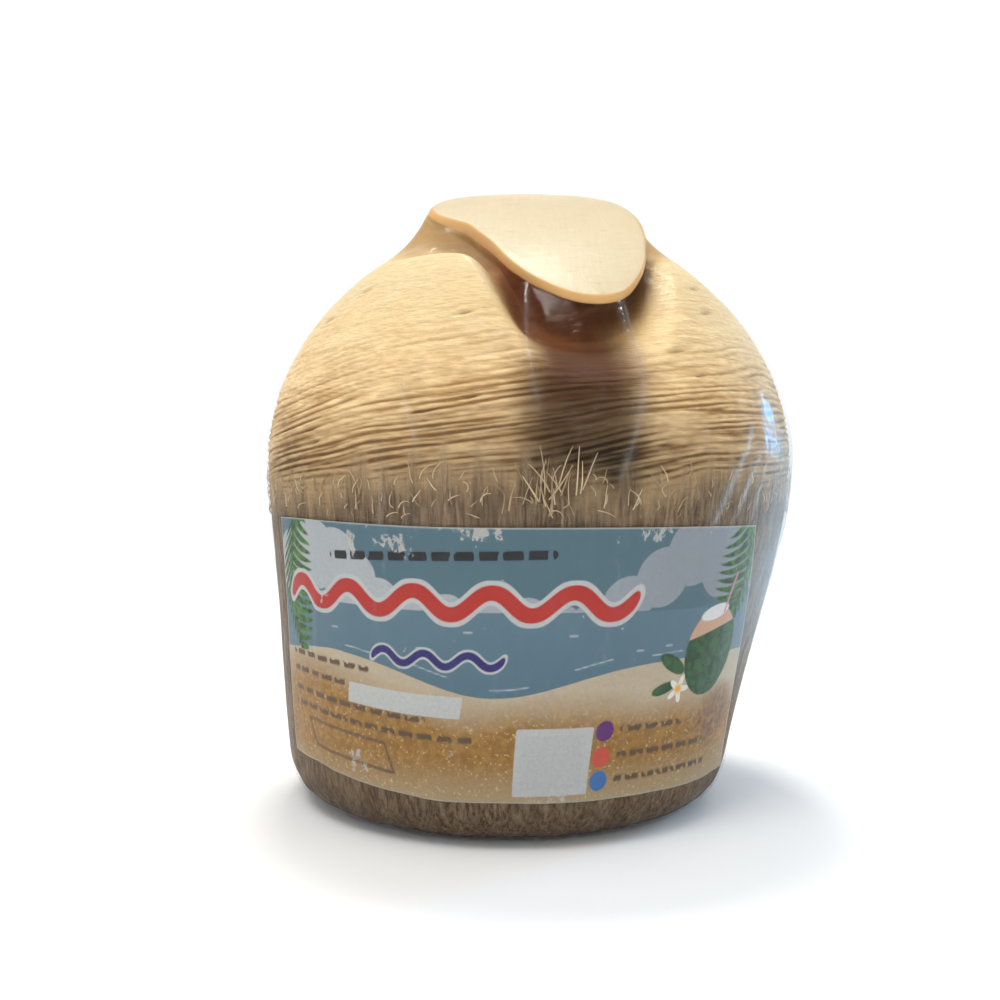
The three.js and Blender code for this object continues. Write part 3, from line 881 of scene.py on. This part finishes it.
class Shader:
    """A node material and the few kinds of node that it is made of."""

    def __init__(self, name):
        self.material = bpy.data.materials.new(name)
        self.material.use_nodes = True
        self.tree = self.material.node_tree
        self.tree.nodes.clear()
        self.position = self.node("TexCoord", {}, "Object")

    def node(self, kind, inputs, output=0, **settings):
        """Adds a node, sets or links its inputs, and returns one of its outputs."""
        node = self.tree.nodes.new("ShaderNode" + kind)
        for key, value in settings.items():
            setattr(node, key, value)
        for key, value in inputs.items():
            if isinstance(value, bpy.types.NodeSocket):
                self.tree.links.new(value, node.inputs[key])
            elif value is not None:
                node.inputs[key].default_value = value
        return node.outputs[output]

    def attribute(self, name):
        return self.node("Attribute", {}, "Fac", attribute_name=name)

    def coordinate(self, axis):
        return self.node("SeparateXYZ", {0: self.position}, axis)

    def math(self, operation, a, b):
        return self.node("Math", {0: a, 1: b}, operation=operation)

    def times(self, a, b):
        return self.math("MULTIPLY", a, b)

    def plus(self, a, b):
        return self.math("ADD", a, b)

    def remap(self, value, low, high, to_low=0.0, to_high=1.0):
        inputs = {"Value": value, "From Min": low, "From Max": high, "To Min": to_low,
                  "To Max": to_high}
        return self.node("MapRange", inputs)

    def noise(self, scale, detail, roughness, distortion=0.0, tilt=0.0):
        """Noise from 0 to 1. A large scale along an axis means short features that way."""
        mapping = {"Vector": self.position, "Rotation": (0, tilt, 0), "Scale": scale}
        inputs = {"Vector": self.node("Mapping", mapping), "Scale": 1.0, "Detail": detail,
                  "Roughness": roughness, "Distortion": distortion}
        return self.node("TexNoise", inputs)

    def mix(self, factor, a, b):
        return self.node("Mix", {"Factor": factor, 6: a, 7: b}, 2, data_type="RGBA")

    def tones(self, factor, a, b):
        return self.mix(factor, rgb(*a), rgb(*b))

    def ramp(self, value, low, high, a, b):
        """One colour where the value is low, running into the other where it is high."""
        return self.mix(self.remap(value, low, high), a, b)

    def shade(self, paint, brightness):
        return self.node("VectorMath", {0: paint, "Scale": brightness}, operation="SCALE")

    def vary(self, paint, value, low, high, dim, bright):
        """The colour, dim where the value is low and bright where it is high."""
        return self.shade(paint, self.remap(value, low, high, dim, bright))

    def layer(self, below, attribute, above, softness=0.12):
        """Paints a colour where the attribute is above zero, with a crisp edge."""
        return self.ramp(self.attribute(attribute), -softness, softness, below, above)

    def bump(self, height, strength, distance, normal=None):
        inputs = {"Height": height, "Strength": strength, "Distance": distance, "Normal": normal}
        return self.node("Bump", inputs)

    def mix_surfaces(self, factor, a, b):
        return self.node("MixShader", {0: factor, 1: a, 2: b})

    def finish(self, surface):
        output = self.tree.nodes.new("ShaderNodeOutputMaterial")
        self.tree.links.new(surface, output.inputs["Surface"])
        return self.material

    def principled(self, paint, roughness, specular, normal=None):
        return self.finish(self.node("BsdfPrincipled", {
            "Base Color": paint, "Roughness": roughness, "Specular IOR Level": specular,
            "Normal": normal,
        }))


def husk_material():
    """Peeled dome, stripped fibres, carved neck and scoop, and the planed top with its rim."""
    mat = Shader("husk_flesh_and_fibre")
    names = ("groove", "fibre", "strand", "cut", "top", "lip", "hollow_shade", "tongue_shadow")
    groove, fibre, strand, cut, top, lip, hollow_shade, tongue_shadow = map(mat.attribute, names)
    height = mat.coordinate("Z")
    patches = mat.noise((45, 45, 60), 4, 0.6)
    around = mat.noise((110, 110, 900), 5, 0.65, 0.4, tilt=0.13)
    fine = mat.noise((420, 420, 2600), 3, 0.6, tilt=0.13)
    upright = mat.noise((1500, 1500, 70), 4, 0.65, 0.3)
    hairs = mat.noise((3800, 3800, 240), 3, 0.6, 0.6)

    depth = mat.remap(groove, -0.85, -0.08)
    high_up = mat.remap(mat.plus(height, mat.times(patches, 0.012)), 0.1, 0.122)
    low_down = mat.remap(mat.plus(height, mat.times(patches, 0.016)), 0.1, 0.08)
    ridge = mat.tones(patches, (232, 198, 144), (246, 220, 174))
    ridge = mat.ramp(around, 0.3, 0.55, rgb(206, 166, 112), ridge)
    low_ridge = mat.tones(around, (146, 120, 86), (196, 168, 126))
    high_ridge = mat.tones(patches, (206, 182, 138), (218, 198, 158))
    ridge = mat.mix(high_up, mat.mix(low_down, ridge, low_ridge), high_ridge)
    # The groove valleys are painted darker than the ridges: painted shade in the grooves.
    valley = mat.tones(patches, (150, 112, 68), (184, 146, 98))
    valley = mat.mix(low_down, valley, rgb(92, 66, 38))
    valley = mat.mix(high_up, valley, rgb(186, 154, 108))
    dome = mat.vary(mat.mix(depth, valley, ridge), fine, 0.3, 0.7, 0.86, 1.1)
    # Painted shadow below the tongue: dark brown near the tongue, with the dome dimmed further
    # down.
    dark = mat.tones(around, (66, 40, 22), (88, 56, 34))
    shaded = mat.vary(dome, depth, 0.0, 1.0, 0.12, 0.19)
    dome = mat.mix(tongue_shadow, dome, mat.ramp(height, 0.078, 0.095, shaded, dark))

    wall = mat.ramp(upright, 0.38, 0.66, rgb(86, 67, 50), rgb(154, 133, 108))
    wall = mat.mix(mat.remap(patches, 0.4, 0.7, 0.0, 0.5), wall, rgb(126, 107, 86))
    # Painted shadow below the tongue, at half strength on the stripped wall.
    wall = mat.mix(mat.times(tongue_shadow, 0.5), wall, mat.shade(wall, 0.6))
    wall = mat.vary(wall, strand, -0.9, -0.1, 0.62, 1.08)
    wall = mat.vary(wall, hairs, 0.3, 0.7, 0.82, 1.14)
    # Painted shade: darker towards the floor.
    wall = mat.vary(wall, height, 0.0, 0.012, 0.55, 1.0)

    carved = mat.tones(patches, (166, 132, 84), (182, 152, 102))
    carved = mat.vary(carved, around, 0.3, 0.7, 0.93, 1.04)
    # Painted shadow below the tongue on the carved neck.
    carved = mat.mix(tongue_shadow, carved, dark)
    # Painted shade in the recess under the tongue.
    hollow_shade_brown = mat.tones(around, (112, 60, 30), (156, 98, 56))
    carved = mat.mix(hollow_shade, carved, hollow_shade_brown)

    planing = mat.noise((60, 25, 60), 4, 0.55, 0.8, tilt=0.3)
    scratches = mat.noise((1400, 90, 90), 2, 0.5, 0.3)
    strokes = mat.remap(mat.noise((170, 900, 900), 3, 0.6, 0.4), 0.61, 0.74, 0.0, 0.45)
    planed = mat.tones(planing, (180, 164, 132), (194, 180, 150))
    planed = mat.vary(planed, scratches, 0.25, 0.75, 0.97, 1.03)
    planed = mat.mix(strokes, planed, rgb(140, 108, 68))
    rim = mat.tones(patches, (192, 146, 90), (210, 170, 114))

    paint = mat.mix(fibre, dome, wall)
    paint = mat.mix(cut, paint, carved)
    paint = mat.mix(lip, paint, rim)
    paint = mat.mix(top, paint, planed)

    rough_wall = mat.times(fibre, mat.plus(upright, hairs))
    on_dome = mat.times(mat.math("SUBTRACT", 1.0, cut), mat.plus(around, fine))
    normal = mat.bump(mat.plus(rough_wall, on_dome), 0.7, 0.0006)
    normal = mat.bump(mat.plus(planing, scratches), 0.12, 0.0004, normal)
    bare = mat.math("MAXIMUM", top, mat.math("SUBTRACT", cut, tongue_shadow))
    return mat.principled(paint, mat.remap(bare, 0.0, 1.0, 0.78, 0.5), 0.1, normal)


def label_material():
    """A scuffed matt print on paper, with a pale edge where the paper shows."""
    mat = Shader("printed_paper")
    height = mat.coordinate("Z")
    right_shade = mat.remap(mat.coordinate("X"), -0.03, 0.03)
    patches = mat.noise((60, 60, 90), 3, 0.5)
    specks = mat.noise((700, 700, 700), 2, 0.6)
    grit = mat.noise((1600, 1600, 1600), 2, 0.6)
    scuffs = mat.noise((420, 420, 320), 5, 0.75, 0.2)
    paper = rgb(186, 184, 178)

    sky = mat.tones(patches, (72, 102, 115), (80, 111, 123))
    # Painted shade: the clouds darken towards the label's right side.
    cloud = mat.tones(right_shade, (168, 174, 178), (136, 144, 154))
    water = mat.ramp(height, 0.030, 0.048, rgb(80, 110, 126), rgb(88, 117, 132))
    paint = mat.layer(mat.layer(sky, "cloud", cloud), "sea", water)

    gold = mat.ramp(specks, 0.4, 0.66, rgb(142, 102, 42), rgb(164, 122, 58))
    golden = mat.plus(mat.attribute("gold"), mat.times(patches, 6.0))
    golden = mat.remap(golden, -2.0, 5.5)
    beach = mat.mix(golden, rgb(184, 170, 146), gold)
    beach = mat.ramp(height, 0.0105, 0.019, rgb(168, 148, 114), beach)
    glitter = mat.times(mat.remap(grit, 0.63, 0.68), golden)
    beach = mat.mix(glitter, beach, rgb(196, 178, 134))
    paint = mat.layer(paint, "sand", beach)
    brown = mat.ramp(specks, 0.4, 0.65, rgb(104, 70, 40), rgb(150, 110, 68))
    paint = mat.mix(mat.remap(mat.attribute("patch"), 0.0, 4.0, 0.0, 0.85), paint, brown)
    paint = mat.layer(paint, "foam", rgb(170, 180, 184))
    leaf = mat.ramp(specks, 0.4, 0.65, rgb(14, 58, 18), rgb(70, 124, 34))
    paint = mat.layer(paint, "fronds", leaf)

    paint = mat.layer(paint, "panel", rgb(184, 186, 184))
    inset = mat.remap(mat.attribute("panel_inset"), -0.1, 0.1, 0.0, 0.25)
    paint = mat.mix(inset, paint, rgb(168, 171, 172))
    waves = (("red", rgb(176, 40, 30), 0.9), ("navy", rgb(40, 36, 104), 0.45))
    for name, ink, border in waves:
        wave = mat.attribute(name)
        outline = rgb(184, 186, 186)
        paint = mat.ramp(wave, -border - 0.12, -border + 0.12, paint, outline)
        paint = mat.ramp(wave, -0.12, 0.12, paint, ink)
    paint = mat.layer(paint, "dark", rgb(30, 30, 34))
    paint = mat.layer(paint, "bars", rgb(92, 72, 52), 0.25)
    green = mat.ramp(specks, 0.4, 0.6, rgb(28, 62, 38), rgb(46, 92, 48))
    for name, ink in (
        ("disc_violet", rgb(92, 40, 108)), ("disc_red", rgb(196, 78, 62)),
        ("disc_blue", rgb(62, 108, 168)), ("leaves", green), ("nut", green),
        ("nut_top", rgb(196, 158, 134)), ("nut_hole", rgb(214, 216, 214)),
        ("straw", rgb(206, 130, 150)), ("petals", rgb(222, 222, 216)),
    ):
        paint = mat.layer(paint, name, ink)
    paint = mat.layer(paint, "flower_eye", rgb(232, 168, 56), 0.5)

    rubbed = mat.times(mat.attribute("rubbed"), 0.2)
    worn = mat.remap(mat.plus(scuffs, rubbed), 0.67, 0.71)
    paint = mat.mix(mat.times(worn, 0.8), paint, paper)
    paint = mat.mix(mat.remap(mat.attribute("edge"), 0.1, 0.4, 0.7, 0.0), paint, paper)
    # Painted shade: the whole print is dimmed, with a fine speckle.
    paint = mat.vary(paint, grit, 0.3, 0.7, 0.72, 0.82)
    roughness = mat.remap(patches, 0.3, 0.7, 0.5, 0.62)
    return mat.principled(paint, roughness, 0.35, mat.bump(scuffs, 0.12, 0.0003))


def film_material():
    """Clear stretched film: gloss and a milky painted sheen, both strongest along its surface."""
    mat = Shader("clear_shrink_film")
    fold, haze, side_haze_and_sheen = map(mat.attribute, ("fold", "haze", "side_haze_and_sheen"))
    streaks = mat.noise((900, 900, 45), 4, 0.7, 0.8)
    smears = mat.noise((160, 160, 40), 3, 0.6, 1.2)
    dents = mat.noise((500, 500, 120), 3, 0.55, 0.5)
    sparks = mat.noise((900, 900, 200), 3, 0.6, 1.5)
    slant = mat.node("LayerWeight", {"Blend": 0.5}, "Facing")

    glint = mat.times(mat.attribute("glint"), mat.remap(sparks, 0.4, 0.6))
    # Painted reflection: the gloss is tinted blue on the glints.
    painted_sky_tint = mat.ramp(glint, 0.0, 0.4, (0.95, 0.97, 1, 1), (0.3, 0.68, 1, 1))
    gloss = mat.node("BsdfGlossy", {
        "Color": painted_sky_tint, "Roughness": 0.16, "Normal": mat.bump(dents, 0.25, 0.0006),
    })
    shine = mat.times(mat.math("POWER", slant, 5.0), 0.16)
    shine = mat.plus(shine, mat.times(fold, 0.05))
    shine = mat.plus(shine, mat.times(glint, 0.18))
    shine = mat.times(mat.plus(shine, 0.004), mat.attribute("outside"))
    clear = mat.node("BsdfTransparent", {"Color": (1, 1, 1, 1)})
    skin = mat.mix_surfaces(shine, clear, gloss)

    streak = mat.times(mat.remap(streaks, 0.5, 0.8), mat.remap(smears, 0.42, 0.7))
    wide_streak = mat.times(mat.remap(streaks, 0.38, 0.7), mat.remap(smears, 0.3, 0.6))
    streak = mat.times(streak, mat.times(haze, 0.25))
    wide_streak = mat.times(wide_streak, mat.times(side_haze_and_sheen, 0.15))
    # Painted sheen: a pale blue glare on the right side, strongest where the film is seen along
    # its surface.
    sheen = mat.times(side_haze_and_sheen, mat.remap(slant, 0.05, 0.6, 0.07, 0.36))
    cloudy = mat.plus(mat.plus(streak, wide_streak), sheen)
    cloudy = mat.plus(cloudy, mat.times(fold, 0.035))
    milk = mat.node("BsdfDiffuse", {"Color": (0.62, 0.76, 0.86, 1)})
    return mat.finish(mat.mix_surfaces(cloudy, skin, milk))


def strand_material():
    mat = Shader("dry_fibre")
    length = mat.noise((900, 900, 300), 3, 0.6)
    paint = mat.mix(mat.attribute("tone"), rgb(150, 124, 88), rgb(206, 188, 156))
    paint = mat.vary(paint, length, 0.3, 0.7, 0.85, 1.1)
    return mat.principled(paint, 0.75, 0.25, mat.bump(length, 0.2, 0.0002))


def floor_material():
    mat = Shader("pale_floor")
    grain = mat.noise((30, 30, 30), 2, 0.5)
    paint = mat.mix(grain, (0.93, 0.93, 0.93, 1), (0.95, 0.95, 0.95, 1))
    return mat.principled(paint, 0.9, 0.1)


# ---- Studio ----
def make_floor():
    """A round pale floor that sweeps up into a wall on every side."""
    flat = [(radius, 0.0) for radius in (0.02, 0.2, FLOOR_RADIUS)]
    sweep = [
        (FLOOR_RADIUS + SWEEP_RADIUS * math.sin(rise), SWEEP_RADIUS * (1 - math.cos(rise)))
        for rise in np.radians(range(10, 100, 10))
    ]
    wall = [(FLOOR_RADIUS + SWEEP_RADIUS, height) for height in WALL_HEIGHTS]
    radius, height = np.array(flat + sweep + wall).T
    rows = len(radius)
    turn = np.radians(np.arange(FLOOR_TURNS) * 360 / FLOOR_TURNS)[:, None]
    points = np.stack([radius * np.sin(turn), -radius * np.cos(turn), height + 0 * turn], axis=-1)
    points = np.vstack([points.reshape(-1, 3), [[0, 0, 0]]])
    inner = np.arange(FLOOR_TURNS) * rows
    faces = [grid_faces(FLOOR_TURNS, rows, True, flip=True), fan_faces(inner, FLOOR_TURNS * rows)]
    floor = make_mesh("pale_floor", points, faces)
    floor.data.materials.append(floor_material())


def area_light(name, location, target, size, watts, tint):
    light = bpy.data.lights.new(name, "AREA")
    light.shape = "RECTANGLE"
    light.size, light.size_y = size
    light.energy = watts
    light.color = tint
    lamp = add_object(name, light)
    lamp.location = location
    lamp.rotation_euler = (Vector(target) - Vector(location)).to_track_quat("-Z", "Y").to_euler()
    lamp.visible_camera = False


def make_lights():
    """A warm key, a soft front, a cool strip for the film to mirror, and light on the walls."""
    centre = (0, 0, 0.08)
    area_light("key", (-0.04, 0.18, 0.74), centre, (0.2, 0.2), 3.6, (1.0, 0.95, 0.86))
    area_light("front_top", (-0.2, -0.42, 0.8), centre, (0.35, 0.35), 2.6, (1.0, 0.97, 0.92))
    area_light("cool_strip", (0.62, 0.345, 0.2), centre, (0.12, 0.22), 1.7, (0.22, 0.6, 1.0))
    for quarter in range(4):
        turn = math.radians(90 * quarter)
        across, ahead = math.sin(turn), math.cos(turn)
        from_point = (0.5 * across, 0.5 * ahead, 1.05)
        to_point = (1.3 * across, 1.3 * ahead, 0.35)
        area_light(f"wall_{quarter}", from_point, to_point, (1.0, 0.3), 3.0, (1, 1, 1))
    world = bpy.data.worlds.new("studio")
    world.use_nodes = True
    backdrop = world.node_tree.nodes["Background"]
    backdrop.inputs["Color"].default_value = (0.96, 0.98, 1.0, 1)
    backdrop.inputs["Strength"].default_value = 0.35
    bpy.context.scene.world = world
    bpy.context.scene.view_settings.view_transform = "Standard"


def make_camera():
    lens = bpy.data.cameras.new("camera")
    lens.lens = LENS
    lens.sensor_width = SENSOR_WIDTH
    lens.clip_start = 0.01
    camera = add_object("camera", lens)
    camera.location = CAMERA_PLACE
    camera.rotation_euler = (math.radians(90), 0, 0)
    bpy.context.scene.camera = camera


# ---- The coconut ----
def add_piece(piece, node, material):
    piece.data.materials.append(material)
    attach(piece, BODY)
    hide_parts(node)


make_camera()
make_lights()
make_floor()
add_piece(make_husk(), "coconut_husk", husk_material())
add_piece(make_label(), "paper_label", label_material())
add_piece(make_film(), "shrink_film", film_material())
strands = make_strands()
strands.data.materials.append(strand_material())
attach(strands, BODY)
